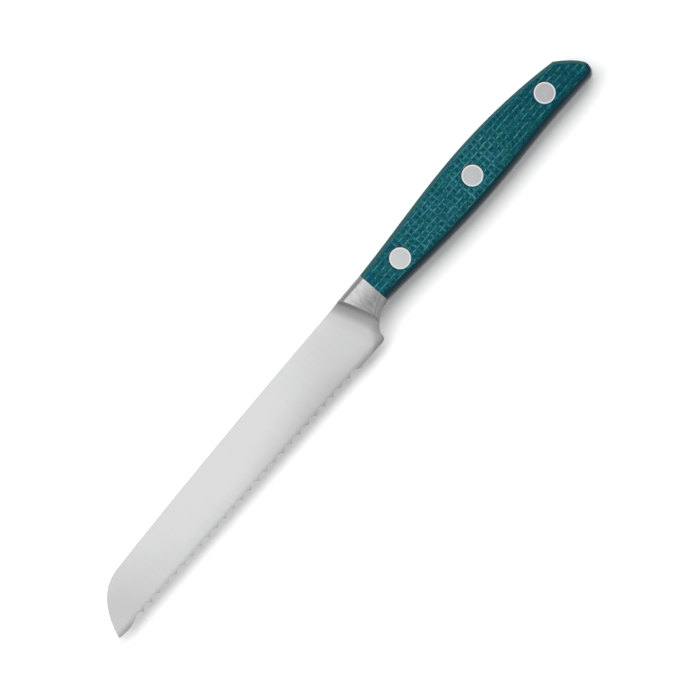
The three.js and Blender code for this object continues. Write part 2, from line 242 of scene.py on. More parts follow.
def blade_column(base):
    """Rows of one station from edge to spine, left side then right: x, y, z, edge share and rise."""
    leaning = smooth(lean_start, heel_start, base) * (1 - smooth(ridge_x + ridge_margin, 0, base))
    lean = math.tan(ridge_rake) * leaning
    low_along = blade_low[:, 0] + blade_low[:, 1] * lean
    high_along = blade_high[:, 0] + blade_high[:, 1] * lean
    low = np.interp(base, low_along, blade_low[:, 1])
    high = np.interp(base, high_along, blade_high[:, 1])
    notch_share = np.interp(base, low_along, along_notch)
    spine_part = np.interp(base, high_along, along_spine)
    low_slope = (np.interp(base + slope_step, low_along, blade_low[:, 1]) - low) / slope_step
    low_tilt = 1 / math.hypot(1, low_slope) if base > heel_end - notch_margin else 1.0
    width = notch_round[0] + (belly_round[0] - notch_round[0]) * notch_share
    depth = notch_round[1] + (belly_round[1] - notch_round[1]) * notch_share
    top_width = max(spine_round[0] * spine_part, blade_round[0])
    top_round = (top_width, blade_round[1] + (spine_round[1] - blade_round[1]) * spine_part)
    tall = high - low
    fit = min(1.0, tall / full_height)

    def fall(y):
        return face_half(base - y * lean) - hollow_half(base - y * lean, y)

    # One row follows the crease where the hollow and the ridge run into a rounded edge.
    tilt = max(low_tilt, least_tilt)
    low_reach = max(meeting(fall(low + width / 2), width, depth) / tilt, least_round)
    low_end = max(width / tilt, low_reach + round_room)
    turned = even_turns(min(low_reach * low_tilt / width, 1.0), width, depth) * low_reach
    rounded = np.concatenate([turned, np.linspace(low_reach, low_end, 6)[1:]])
    top_reach = max(meeting(fall(high - top_round[0] / 2), *top_round, spine_crease), spine_softening)
    top_end = max(top_round[0], top_reach + least_round)
    top_in = np.concatenate([np.linspace(top_end, top_reach, 5)[:-1], top_reach * round_share[::-1]])
    top_rows = high - top_in * fit
    edge_rise = above_edge(base - low * lean, low)
    toothed = teeth_limits[0] < base < teeth_limits[1]
    bevel = bevel_rise - edge_rise if toothed else max(bevel_rise - edge_rise, least_bevel) * fit
    as_notch = smooth(heel_start, heel_end, base)
    sides = []
    for side, band in ((1, band_left), (-1, band_right)):
        if side > 0:
            offsets = np.concatenate([band * bevel, bevel + past_bevel * fit])
        else:
            offsets = np.concatenate([band * band_right_width * fit, past_flute * fit])
        rows = low + offsets * (1 - as_notch) + rounded * as_notch
        middle = rows[-1] + (top_rows[0] - rows[-1]) * middle_share
        y = np.concatenate([rows, middle, top_rows])
        share = np.full(len(y), not_ground)
        if toothed:
            share[:len(band)] = band
        x = base - y * lean
        z = forged_half(x, y, low, high, low_tilt, (width, depth), top_round)
        if side > 0:
            below = np.clip(1 - above_edge(x, y) / bevel_rise, 0, 1)
            z = z - bevel_drop * below ** 2
        bow = ridge_bow * leaning * (1 - ((2 * y - low - high) / max(tall, least_height)) ** 2)
        sides.append((x + bow, y, z * side, share, np.full(len(y), edge_rise)))
    return sides


def flank_half(x, y):
    """Half thickness of the flat-ground flank, which grows from the edge to the spine."""
    return edge_half + flank_growth * above_edge(x, y)


def face_half(x):
    """Half thickness across the bolster's faces, which draw in a little towards the ridge."""
    return half_handle + bolster_taper * np.clip(x, taper_start, 0)


def hollow_half(x, y):
    """Half thickness of flank, hollow, ridge and bolster before their edges are rounded."""
    run = -(x - ridge_x) * math.cos(ridge_rake) - y * math.sin(ridge_rake)
    inward = hollow_radius - np.clip(run, 0, hollow_radius)
    rise = hollow_radius - np.sqrt(hollow_radius ** 2 - inward ** 2)
    over = np.clip(run + ridge_softening, 0, ridge_softening)
    ridge = face_half(x) - ridge_softening + np.sqrt(ridge_softening ** 2 - over ** 2)
    return np.where(run > 0, np.minimum(flank_half(x, y) + rise, ridge), ridge)


def meeting(fall, width, depth, crease=0.0):
    """How far in from the outline a rounded edge has dropped as far as a surface below the face."""
    inset = np.linspace(0, 1, 101)
    return width * float(np.interp(-fall, -quarter_round(inset, 1, depth, crease), inset))


def even_turns(reach, width, depth, count=13):
    """Shares of a rounded edge's reach between which its surface turns by even angles."""
    last = math.atan2(depth * (1 - reach), width * math.sqrt(1 - (1 - reach) ** 2))
    turn = np.linspace(math.pi / 2, last, count)
    outward = np.sin(turn) / np.hypot(depth / width * np.cos(turn), np.sin(turn))
    return (1 - outward) / reach


def forged_half(x, y, low, high, low_tilt, low_round, high_round):
    """Half thickness of blade and bolster with their rounded edges."""
    soft_depth = np.minimum(spine_softening, 0.5 * flank_half(x, y))
    softening = quarter_round(high - y, spine_softening, soft_depth)
    belly_edge = face_half(x) - quarter_round((y - low) * low_tilt, *low_round)
    spine_edge = face_half(x) - quarter_round(high - y, *high_round, spine_crease)
    return np.minimum.reduce([hollow_half(x, y) - softening, belly_edge, spine_edge])


# Loops round the forging, one for each station: up the left face and down the right one.
loops = []
for base in stations:
    left, right = blade_column(base)
    loops.append([np.concatenate([a, b[::-1]]) for a, b in zip(left, right)])
left_count = len(left[0])
loop_count = len(loops[0][0])

tang_low = np.concatenate([*[run[:-1] for run in belly], butt_corner])
tang_high = np.concatenate([spine_front[::-1], spine_rear[::-1][1:], butt_face[::-1][1:]])
for base in spaced(np.concatenate([tang_low[:, 0], tang_high[:, 0]])):
    if base == 0:
        x, y = loops[-1][0], loops[-1][1]
    else:
        low = np.interp(base, tang_low[:, 0], tang_low[:, 1])
        high = np.interp(base, tang_high[:, 0], tang_high[:, 1])
        rows = [np.linspace(low, high, left_count), np.linspace(high, low, loop_count - left_count)]
        x, y = np.full(loop_count, base), np.concatenate(rows)
    z = np.where(np.arange(loop_count) < left_count, half_tang, -half_tang)
    loops.append([x, y, z, np.full(loop_count, not_ground), np.zeros(loop_count)])


def mesh_of(name, places, faces):
    """A mesh from places in millimetres, moved to where the knife lies."""
    made = bpy.data.meshes.new(name)
    made.from_pydata((np.asarray(places) * MM + home).tolist(), [], faces)
    return made


def closed(made, double=2e-7, empty=1e-7):
    """Merges doubles, drops empty faces and turns all faces outwards."""
    work = bmesh.new()
    work.from_mesh(made)
    bmesh.ops.remove_doubles(work, verts=work.verts, dist=double)
    bmesh.ops.dissolve_degenerate(work, edges=work.edges, dist=empty)
    bmesh.ops.recalc_face_normals(work, faces=work.faces)
    if work.calc_volume(signed=True) < 0:
        bmesh.ops.reverse_faces(work, faces=work.faces)
    work.to_mesh(made)
    work.free()


places = np.concatenate([np.stack(loop[:3], axis=1) for loop in loops])
faces = []
for i in range(len(loops) - 1):
    for j in range(loop_count):
        k = (j + 1) % loop_count
        a, b = i * loop_count, (i + 1) * loop_count
        faces.append((a + j, b + j, b + k, a + k))
forging_mesh = mesh_of("ground_forging", places, faces)
on_side = np.where(np.arange(loop_count) < left_count, 1.0, -1.0)
for name, values in (
    ("edge_share", np.concatenate([loop[3] for loop in loops])),
    ("edge_rise", np.concatenate([loop[4] for loop in loops])),
    ("ground_side", np.tile(on_side, len(loops))),
):
    attribute = forging_mesh.attributes.new(name, "FLOAT", "POINT")
    attribute.data.foreach_set("value", values.astype(np.float32))
closed(forging_mesh)


class Wire:
    """A socket of a node tree. Arithmetic on wires and numbers adds Math nodes to that tree."""

    def __init__(self, socket):
        self.socket = socket

    @staticmethod
    def node(tree, kind, settings=None, inputs=None):
        """Any node: its type, its settings, then the values or wires of its sockets."""
        made = tree.nodes.new(kind)
        for name, value in (settings or {}).items():
            setattr(made, name, value)
        open_sockets = [socket for socket in made.inputs if socket.enabled]
        for key, value in (inputs or {}).items():
            if isinstance(key, int):
                socket = open_sockets[key]
            else:
                socket = next(s for s in open_sockets if s.name == key)
            for one in value if isinstance(value, list) else [value]:
                if isinstance(one, Wire):
                    tree.links.new(one.socket, socket)
                else:
                    socket.default_value = one
        return Wire(next(socket for socket in made.outputs if socket.enabled))

    def out(self, name):
        """Another output of the same node."""
        return Wire(next(s for s in self.socket.node.outputs if s.enabled and s.name == name))

    def math(self, operation, *others):
        """A Math node with this wire first."""
        values = dict(enumerate([self, *others]))
        return Wire.node(self.socket.id_data, "ShaderNodeMath", {"operation": operation}, values)

    def from_(self, operation, other):
        """A Math node with this wire second."""
        return Wire.node(self.socket.id_data, "ShaderNodeMath", {"operation": operation}, {0: other, 1: self})

    def __add__(self, other):
        return self.math("ADD", other)

    def __sub__(self, other):
        return self.math("SUBTRACT", other)

    def __mul__(self, other):
        return self.math("MULTIPLY", other)

    def __truediv__(self, other):
        return self.math("DIVIDE", other)

    def __rsub__(self, other):
        return self.from_("SUBTRACT", other)

    def __rtruediv__(self, other):
        return self.from_("DIVIDE", other)

    def __neg__(self):
        return self.math("MULTIPLY", -1.0)

    __radd__ = __add__
    __rmul__ = __mul__


def node_group(name, sizes):
    """A geometry tree with named inputs; returns the tree, its input wires and their identifiers."""
    tree = bpy.data.node_groups.new(name, "GeometryNodeTree")
    tree.interface.new_socket("Geometry", in_out="OUTPUT", socket_type="NodeSocketGeometry")
    names = {"Geometry": "NodeSocketGeometry", **sizes, "Finish": "NodeSocketMaterial"}
    idents = {}
    for label, kind in names.items():
        idents[label] = tree.interface.new_socket(label, in_out="INPUT", socket_type=kind).identifier
    entry = tree.nodes.new("NodeGroupInput")
    wires = {label: Wire(entry.outputs[label]) for label in names}
    return tree, wires, idents


def group_end(tree, geometry, finish):
    """Ends a geometry tree in Realize Instances and Set Material."""
    real = Wire.node(tree, "GeometryNodeRealizeInstances", None, {"Geometry": geometry})
    dressed = Wire.node(tree, "GeometryNodeSetMaterial", None, {"Geometry": real, "Material": finish})
    tree.links.new(dressed.socket, tree.nodes.new("NodeGroupOutput").inputs["Geometry"])


def made_by(tree, idents, piece_name, base_mesh, values):
    """Runs a geometry tree on a mesh and returns the result as a plain mesh object."""
    piece = bpy.data.objects.new(piece_name, base_mesh)
    bpy.context.scene.collection.objects.link(piece)
    modifier = piece.modifiers.new(tree.name, "NODES")
    modifier.node_group = tree
    for label, value in values.items():
        modifier[idents[label]] = value
    bpy.context.view_layer.update()
    result = piece.evaluated_get(bpy.context.evaluated_depsgraph_get())
    plain = bpy.data.meshes.new_from_object(result)
    piece.modifiers.remove(modifier)
    piece.data = plain
    plain.name = piece_name
    return piece


# Teeth: the rows by the edge drop onto the wheel's cylinders, one every pitch along the edge.
FLOAT, INT, VECTOR = "NodeSocketFloat", "NodeSocketInt", "NodeSocketVector"
teeth, wire, teeth_in = node_group("teeth", {
    "Count": INT, "Pitch": FLOAT, "First": FLOAT, "Wheel Radius": FLOAT, "Wheel Lean": FLOAT,
    "Gullet Rise": FLOAT, "Lead In Fall": FLOAT, "Bevel Rise": FLOAT,
})


def tooth_position():
    """The position that each row by the edge takes after grinding, and which rows those are."""
    def attribute(name):
        return Wire.node(teeth, "GeometryNodeInputNamedAttribute", {"data_type": "FLOAT"}, {"Name": name})

    here = Wire.node(teeth, "GeometryNodeInputPosition")
    parts = Wire.node(teeth, "ShaderNodeSeparateXYZ", None, {0: here})
    x = (parts - float(home[0])) / MM
    share, rise, side = attribute("edge_share"), attribute("edge_rise"), attribute("ground_side")
    radius, lean = wire["Wheel Radius"], wire["Wheel Lean"]
    nearest = ((x - wire["First"]) / wire["Pitch"]).math("ROUND")
    nearest = nearest.math("MAXIMUM", 0.0).math("MINIMUM", wire["Count"] - 1.0)
    off = x - wire["First"] - nearest * wire["Pitch"]
    sag = radius - (radius * radius - off * off).math("MAXIMUM", 0.0).math("SQRT")
    # By the tip the wheel is drawn off along a ramp, which only rows ahead of the first flute can meet.
    ahead = wire["First"] - x
    out_of_reach = 100.0
    ramp = ahead * wire["Lead In Fall"] + (ahead.math("LESS_THAN", 0.0)) * out_of_reach
    sag = sag.math("MINIMUM", ramp)
    slope = lean.math("TANGENT")
    # Height of the wheel's floor over the edge line, and where it meets the bevel and the flank.
    floor = edge_half + flank_growth * wire["Gullet Rise"] + wire["Gullet Rise"] * slope
    floor = floor - sag / lean.math("COSINE")
    bend = bevel_drop / (wire["Bevel Rise"] * wire["Bevel Rise"])
    steep = slope + flank_growth + bend * wire["Bevel Rise"] * 2.0
    under = floor + (tooth_land + bevel_drop - edge_half)
    root = (steep * steep - bend * under * 4.0).math("MAXIMUM", 0.0).math("SQRT")
    cut_edge = (steep - root) / (bend * 2.0)
    cut_top = (floor + edge_half) / (slope - flank_growth)
    edge = cut_edge.math("MAXIMUM", rise)
    top = cut_top.math("MAXIMUM", edge + least_flute)
    left_rise = edge + (wire["Bevel Rise"] - edge) * share
    right_rise = edge + (top - edge) * share
    below = wire["Bevel Rise"] - left_rise
    left_z = edge_half + flank_growth * left_rise - bend * below * below
    right_z = (floor - slope * right_rise).math("MAXIMUM", -(edge_half + flank_growth * right_rise))
    on_left = side.math("GREATER_THAN", 0.0)
    new_rise = right_rise + (left_rise - right_rise) * on_left
    new_z = right_z + (left_z - right_z) * on_left
    new_y = heel_edge[1] + (new_rise + (x - heel_edge[0]) * edge_run.y) / edge_run.x
    moved = Wire.node(teeth, "ShaderNodeCombineXYZ", None, {
        0: parts, 1: new_y * MM + float(home[1]), 2: new_z * MM + float(home[2]),
    })
    return moved, share.math("LESS_THAN", (1.0 + not_ground) / 2)


ground, toothed_rows = tooth_position()
group_end(teeth, Wire.node(teeth, "GeometryNodeSetPosition", None, {
    "Geometry": wire["Geometry"], "Selection": toothed_rows, "Position": ground,
}), wire["Finish"])


def finish(name):
    """A new material with an empty tree; returns it, the tree and Object coordinates in millimetres."""
    made = bpy.data.materials.new(name)
    made.use_nodes = True
    tree = made.node_tree
    tree.nodes.clear()
    place = Wire.node(tree, "ShaderNodeTexCoord").out("Object")
    at = Wire.node(tree, "ShaderNodeVectorMath", {"operation": "SCALE"}, {0: place, "Scale": 1 / MM})
    return made, tree, at


def show(tree, shader):
    """Ends a material's tree in its shader."""
    tree.links.new(shader.socket, tree.nodes.new("ShaderNodeOutputMaterial").inputs["Surface"])


def grain(at, *stretch, detail=2.0):
    """Noise stretched by so many ripples per millimetre along each axis."""
    tree = at.socket.id_data
    drawn = Wire.node(tree, "ShaderNodeVectorMath", {"operation": "MULTIPLY"}, {0: at, 1: stretch})
    return Wire.node(tree, "ShaderNodeTexNoise", None, {"Vector": drawn, "Scale": 1.0, "Detail": detail})


def eased(value, low, high):
    """0 below low, 1 above high and a smooth step between."""
    return Wire.node(value.socket.id_data, "ShaderNodeMapRange", {"interpolation_type": "SMOOTHSTEP"}, {
        "Value": value, "From Min": low, "From Max": high,
    })


def blend(share, first, second):
    """A colour between two colours or colour wires, by a share from 0 to 1."""
    return Wire.node(share.socket.id_data, "ShaderNodeMix", {"data_type": "RGBA"}, {
        "Factor": share, "A": first, "B": second,
    })


def tinted(share, dark, light):
    """A blend of two plain colours."""
    return blend(share, (*dark, 1.0), (*light, 1.0))


def split(vector):
    """The three parts of a vector."""
    parts = Wire.node(vector.socket.id_data, "ShaderNodeSeparateXYZ", None, {0: vector})
    return parts, parts.out("Y"), parts.out("Z")


def facing(tree):
    """How squarely the surface faces out of the knife's flat sides, 0 to 1, and to the spine, -1 to 1."""
    parts = split(Wire.node(tree, "ShaderNodeTexCoord").out("Normal"))
    return parts[2].math("ABSOLUTE"), parts[1]


steel, tree, at = finish("satin_steel")
along, up = split(at)[:2]
along, up = along - joint_x / MM, up - rivet_line / MM
raked = along + up * math.tan(ridge_rake)
faces_out, faces_spine = facing(tree)
belt_lines = grain(at, 5.0, 0.09, 0.09, detail=3.0)
fine_lines = grain(at, 16.0, 0.2, 0.2)
cloud = grain(at, 0.05, 0.09, 0.05)
hand_sanding = grain(at, 1.0, 0.55, 0.5, detail=4.0)

# Zones of the forging, each fading in from 0 to 1 by facing, or over millimetres along and up.
spine_wall = eased(faces_spine, 0.5, 0.66) * eased(along, -19.0, -15.0)
belly_wall = (1.0 - eased(faces_out, 0.44, 0.84)) * eased(-faces_spine, 0.1, 0.4)
underside = eased(-faces_spine, 0.92, 1.0)
ridge_middle = -0.5
ridge_half = 6.5
off_middle = (up - ridge_middle) / ridge_half
bow = (1.0 - off_middle.math("POWER", 2.0)).math("MAXIMUM", 0.0) * ridge_bow
past_ridge = (along - ridge_x - bow) * math.cos(ridge_rake) + up * math.sin(ridge_rake)
on_bolster = eased(past_ridge, -0.3, 0.1)
by_ridge = eased(past_ridge, -2.2, -0.4) * (1.0 - on_bolster) * eased(up, -9.0, 1.0)
on_bolster = on_bolster.math("MAXIMUM", belly_wall)
on_blade = 1.0 - on_bolster
by_edge = 1.0 - eased(up, -13.0, -6.0)
by_tip = 1.0 - eased(along, -138.0, -95.0)
rear_half = eased(along, -60.0, -15.0)
belly_half = eased(along, -78.0, -58.0) * (1.0 - eased(along, -34.0, -20.0)) * (1.0 - eased(up, -12.0, -1.0))
hollow = eased(raked, -18.5, -13.0)
heel_bend_start = -7.0
heel_bend = 0.178
heel_drift = (heel_bend_start - up).math("MAXIMUM", 0.0).math("POWER", 2.0) * heel_bend
heel = eased(raked + heel_drift, -14.8, -12.4) * eased(-up, 6.0, 10.0)
sanding_marks = eased(hand_sanding, 0.4, 0.7) * eased(faces_out, 0.6, 0.9)
belly_turn = eased(faces_out, 0.5, 0.7)
bolster_flat = eased(faces_out, 0.955, 0.998)
bolster_low = 1.0 - eased(up, -3.0, 4.5)

# How much painted shade darkens each zone's colour from polished steel, or painted light lightens it, and how
# rough each zone is; the sanding marks are real tone.
polish, belt_contrast, cloud_contrast = 1.03, 0.14, 0.16
spine_wall_shade, belly_wall_shade, underside_shade = 0.7, 0.88, 0.12
edge_shade, spineward_light, rear_shade, belly_half_shade = 0.1, 0.007, 0.16, 0.14
heel_shade, hollow_shade, tip_shade, tip_edge_light = 0.22, 0.1, 0.22, 0.14
sanding_loss, belly_turn_shade, bolster_flat_shade, ridge_light = 0.16, 0.28, 0.4, 0.25
satin_rough, line_rough, wall_rough, bolster_rough, ridge_rough = 0.3, 0.1, 0.14, 0.08, 0.36
# Painted shade on the blade: darker by the edge, the rear, the belly's middle, the heel, the hollow and the
# tip, and painted light towards the spine.
blade_painted_shade = by_edge * edge_shade - up * spineward_light + rear_half * rear_shade
blade_painted_shade = blade_painted_shade + belly_half * belly_half_shade + heel * heel_shade + hollow * hollow_shade
blade_painted_shade = blade_painted_shade + by_tip * (tip_shade - by_edge * tip_edge_light)
# Painted shade on the bolster's lower half as it turns to the belly, plus its real sanding marks.
bolster_painted_shade_and_sanding = (belly_turn * belly_turn_shade + bolster_flat * bolster_flat_shade) * bolster_low
bolster_painted_shade_and_sanding = bolster_painted_shade_and_sanding + sanding_marks * sanding_loss
polish_and_painted_light = polish + (belt_lines - 0.5) * belt_contrast + (cloud - 0.5) * cloud_contrast
# Painted shade on walls facing spine or belly and on the underside, and painted light just in front of the
# ridge.
polish_and_painted_light = polish_and_painted_light - spine_wall * spine_wall_shade - belly_wall * belly_wall_shade - underside * underside_shade
polish_and_painted_light = polish_and_painted_light - on_blade * blade_painted_shade - on_bolster * bolster_painted_shade_and_sanding + by_ridge * ridge_light
satin = satin_rough + (fine_lines - 0.5) * line_rough + (spine_wall + belly_wall) * wall_rough
satin = satin + on_bolster * bolster_rough + by_ridge * ridge_rough
steel_dark = (0.17, 0.171, 0.173)
steel_light = (0.8, 0.801, 0.804)
ripple = Wire.node(tree, "ShaderNodeBump", None, {
    "Strength": 0.12, "Distance": 0.02 * MM, "Height": fine_lines + belt_lines,
})
show(tree, Wire.node(tree, "ShaderNodeBsdfPrincipled", None, {
    "Base Color": tinted(polish_and_painted_light, steel_dark, steel_light), "Metallic": 1.0, "Roughness": satin,
    "Normal": ripple,
}))

forging = made_by(teeth, teeth_in, "ground_forging", forging_mesh, {
    "Count": flute_count, "Pitch": flute_pitch, "First": first_flute, "Wheel Radius": flute_radius,
    "Wheel Lean": flute_lean, "Gullet Rise": gullet_rise, "Lead In Fall": lead_in_fall,
    "Bevel Rise": bevel_rise, "Finish": steel,
})


# Bores. Scales and tang are drilled together for the three rivets, and each scale has seats for
# the rivet heads. In the tang the seat's drill is thinner than the hole, so it leaves no seat.

first_rivet = 12.7
rivet_pitch = 35.25
rivet_count = 3
hole_radius = 2.3
head_seat = 5.2
scale_seat_radius = 3.6
tang_seat_radius = 1.5
drill_length = 20.0
drill_sides = 96
bores, wire, bores_in = node_group("rivet_bores", {
    "Count": INT, "First": VECTOR, "Pitch": FLOAT, "Hole Radius": FLOAT, "Seat Radius": FLOAT,
    "Seat Height": FLOAT,
})


def drill(radius, lift):
    """A row of drills, each longer than the handle is thick."""
    stick = Wire.node(bores, "GeometryNodeMeshCylinder", None, {
        "Vertices": drill_sides, "Radius": radius, "Depth": drill_length * MM,
    })
    up = Wire.node(bores, "ShaderNodeCombineXYZ", None, {2: lift})
    stick = Wire.node(bores, "GeometryNodeTransform", None, {"Geometry": stick, "Translation": up})
    step = Wire.node(bores, "ShaderNodeCombineXYZ", None, {0: wire["Pitch"]})
    row = Wire.node(bores, "GeometryNodeMeshLine", None, {
        "Count": wire["Count"], "Start Location": wire["First"], "Offset": step,
    })
    set_out = Wire.node(bores, "GeometryNodeInstanceOnPoints", None, {"Points": row, "Instance": stick})
    return Wire.node(bores, "GeometryNodeRealizeInstances", None, {"Geometry": set_out})


drills = [drill(wire["Hole Radius"], 0.0), drill(wire["Seat Radius"], wire["Seat Height"])]
drilling = {"operation": "DIFFERENCE", "solver": "MANIFOLD"}
group_end(bores, Wire.node(bores, "GeometryNodeMeshBoolean", drilling, {
    "Mesh 1": wire["Geometry"], "Mesh 2": drills,
}), wire["Finish"])

row_start = ((np.array([first_rivet, 0, 0]) * MM) + home).tolist()


def bored(piece, seat_radius, seat_height, material):
    """Drills a piece for the three rivets and keeps its name."""
    name, blank = piece.name, piece.data
    bpy.data.objects.remove(piece)
    return made_by(bores, bores_in, name, blank, {
        "Count": rivet_count, "First": row_start, "Pitch": rivet_pitch * MM, "Hole Radius": hole_radius * MM,
        "Seat Radius": seat_radius * MM, "Seat Height": seat_height * MM, "Finish": material,
    })


def dress(piece, slot_name, *nodes, crease):
    """Shades a piece smooth up to its creases and gives it its place in the knife."""
    piece.data.polygons.foreach_set("use_smooth", [True] * len(piece.data.polygons))
    piece.data.set_sharp_from_angle(angle=math.radians(crease))
    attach(piece, "root")
    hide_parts(*nodes)


forging = bored(forging, tang_seat_radius, 0.0, steel)
dress(forging, "blade_steel", "forged_blade", crease=12.3)


# Scales. Two slabs of canvas laminate, cotton cloth pressed in tinted resin, are glued to the
# tang, riveted and then sanded with it: square at the bolster, rounded over along spine, butt
# and belly, so that the belly's broad rounding cuts through the layers of cloth.

heel_round = (2.4, 3.4)
butt_round = (1.0, 1.6)
back_round = (1.2, 2.0)
edge_crease = 0.4


def edged(run, start, end, hurry=1.0):
    """A stretch of outline without its last point, with its rounding blended from start to end."""
    share = np.linspace(0, 1, len(run))[:-1, None] ** hurry
    return np.hstack([run[:-1], np.array(start) * (1 - share) + np.array(end) * share])


outline = np.concatenate([
    edged(belly[0], (*belly_round, 0), (*belly_round, 0)),
    edged(belly[1], (*belly_round, 0), (*belly_round, 0)),
    edged(belly[2], (*belly_round, 0), (*heel_round, 0)),
    edged(butt_corner, (*heel_round, 0), (*butt_round, edge_crease), hurry=0.5),
    edged(butt_face, (*butt_round, edge_crease), (*back_round, edge_crease)),
    edged(spine_rear, (*back_round, edge_crease), (*back_round, edge_crease)),
    edged(spine_front, (*back_round, edge_crease), (*spine_round, spine_crease)),
    [(*joint_spine, *spine_round, spine_crease)],
])
heading = np.roll(outline[:, :2], -1, axis=0) - np.roll(outline[:, :2], 1, axis=0)
inward = np.stack([-heading[:, 1], heading[:, 0]], axis=1)
inward /= np.linalg.norm(inward, axis=1)[:, None]
inward[0], inward[-1] = (0, 1), (0, -1)

slab, wire, slab_in = node_group("rounded_slab", {"Side": FLOAT})


def slab_body(steps=10, rim=0.4):
    """A wall from the tang, a quarter round and a flat face, each ring extruded from the last."""
    def attribute(name, kind):
        return Wire.node(slab, "GeometryNodeInputNamedAttribute", {"data_type": kind}, {"Name": name})

    def vector(operation, values):
        return Wire.node(slab, "ShaderNodeVectorMath", {"operation": operation}, values)

    plan = attribute("plan", "FLOAT_VECTOR")
    inward_way = attribute("inward", "FLOAT_VECTOR")
    width, depth = attribute("round_width", "FLOAT"), attribute("round_depth", "FLOAT")
    crease = attribute("round_crease", "FLOAT")
    foot = Wire.node(slab, "GeometryNodeFlipFaces", None, {"Mesh": wire["Geometry"]})
    body, top = wire["Geometry"], True
    rings = [(math.radians(90 * step / steps), 0.0) for step in range(steps + 1)] + [(math.pi / 2, rim)]
    for turn, extra in rings:
        grown = Wire.node(slab, "GeometryNodeExtrudeMesh", {"mode": "FACES"}, {
            "Mesh": body, "Selection": top, "Offset Scale": 0.0, "Individual": False,
        })
        top = grown.out("Top")
        inset = width * (1 - math.cos(turn)) + extra * MM
        fall = crease * math.cos(turn) + (1.0 - crease) * (1 - math.sin(turn))
        rise = wire["Side"] * (half_handle * MM - depth * fall) + float(home[2])
        drawn_in = vector("SCALE", {0: inward_way, "Scale": inset})
        lifted = Wire.node(slab, "ShaderNodeCombineXYZ", None, {2: rise})
        place = vector("ADD", {0: vector("ADD", {0: plan, 1: drawn_in}), 1: lifted})
        body = Wire.node(slab, "GeometryNodeSetPosition", None, {
            "Geometry": grown, "Selection": top, "Position": place,
        })
    both = Wire.node(slab, "GeometryNodeJoinGeometry", None, {"Geometry": [body, foot]})
    return Wire.node(slab, "GeometryNodeMergeByDistance", None, {"Geometry": both, "Distance": 0.001 * MM})


group_end(slab, slab_body(), wire["Finish"])


def from_rivet(at):
    """Distance in millimetres from the axis of the nearest rivet."""
    along, up = split(at)[:2]
    ahead = along - (joint_x / MM + first_rivet)
    nearest = (ahead / rivet_pitch).math("ROUND").math("MAXIMUM", 0.0).math("MINIMUM", rivet_count - 1.0)
    ahead, up = ahead - nearest * rivet_pitch, up - rivet_line / MM
    return (ahead * ahead + up * up).math("SQRT")


canvas, tree, at = finish("canvas_laminate")
weft_pitch, warp_pitch = 1.94, 2.02
sway_along, sway_up = 1.4, 1.0
shake_along, shake_up = 0.6, 0.35
along, up, out = split(at)
towards_butt = eased(along, joint_x / MM + 45.0, joint_x / MM + 96.0)
clearest_weave = joint_x / MM + first_rivet + 0.6 * rivet_pitch
off_clearest = (along - clearest_weave).math("ABSOLUTE")

# The threads sway over centimetres and shake over a millimetre or so.
drift = Wire.node(tree, "ShaderNodeTexNoise", None, {"Vector": at, "Scale": 0.12, "Detail": 2.0})
jitter = Wire.node(tree, "ShaderNodeTexNoise", None, {"Vector": at, "Scale": 0.9, "Detail": 1.0})
sway = split(drift.out("Color"))
shake = split(jitter.out("Color"))
along = along + (sway[0] - 0.5) * sway_along + (shake[0] - 0.5) * shake_along
up = up + (sway[1] - 0.5) * sway_up + (shake[1] - 0.5) * shake_up
weft, warp = (up / weft_pitch).math("ROUND"), (along / warp_pitch).math("ROUND")
off_weft = (up - weft * weft_pitch).math("ABSOLUTE")
off_warp = (along - warp * warp_pitch).math("ABSOLUTE")
weft_over = (weft + warp).math("FLOORED_MODULO", 2.0)


def chance(u, v):
    """A fixed number from 0 to 1 for each thread or crossing."""
    pair = Wire.node(tree, "ShaderNodeCombineXYZ", None, {0: u, 1: v})
    return Wire.node(tree, "ShaderNodeTexWhiteNoise", {"noise_dimensions": "2D"}, {"Vector": pair})


# Each thread has its own strength, dives under the others and is worn away in places.
weft_seed, warp_seed = 7.0, 3.0
weft_width, warp_width = (0.03, 0.29), (0.08, 0.48)
weft_dive, warp_dive = 0.75, 0.7
weft_gain = 1.15
warp_loss = 0.75
thread_butt_shade = 0.35
crossing = chance(weft, warp)
weft_fibre = grain(at, 0.9, 3.0, 0.5)
warp_fibre = grain(at, 3.0, 0.9, 0.5)
worn = grain(at, 0.045, 0.1, 0.045)
weft_worth = chance(weft, weft_seed) * 0.2 + crossing * 0.34 + 0.28
warp_worth = chance(warp_seed, warp) * 0.24 + crossing * 0.22 + 0.22
under_warp = (1.0 - weft_over) * (1.0 - eased(off_warp, 0.3, 0.75))
under_weft = weft_over * (1.0 - eased(off_weft, 0.15, 0.55))
weft_line = (1.0 - eased(off_weft, *weft_width)) * weft_worth * (1.0 - under_warp * weft_dive)
weft_line = weft_line * eased(weft_fibre, 0.34, 0.6) * weft_gain
warp_line = (1.0 - eased(off_warp, *warp_width)) * warp_worth * (1.0 - under_weft * warp_dive)
warp_line = warp_line * eased(warp_fibre, 0.36, 0.66) * eased(worn, 0.3, 0.6)
warp_line = warp_line * (1.0 - eased(off_clearest, 20.0, 36.0) * warp_loss)
# The threads fade towards the butt: painted shade.
thread = weft_line.math("MAXIMUM", warp_line) * (1.0 - towards_butt * thread_butt_shade)

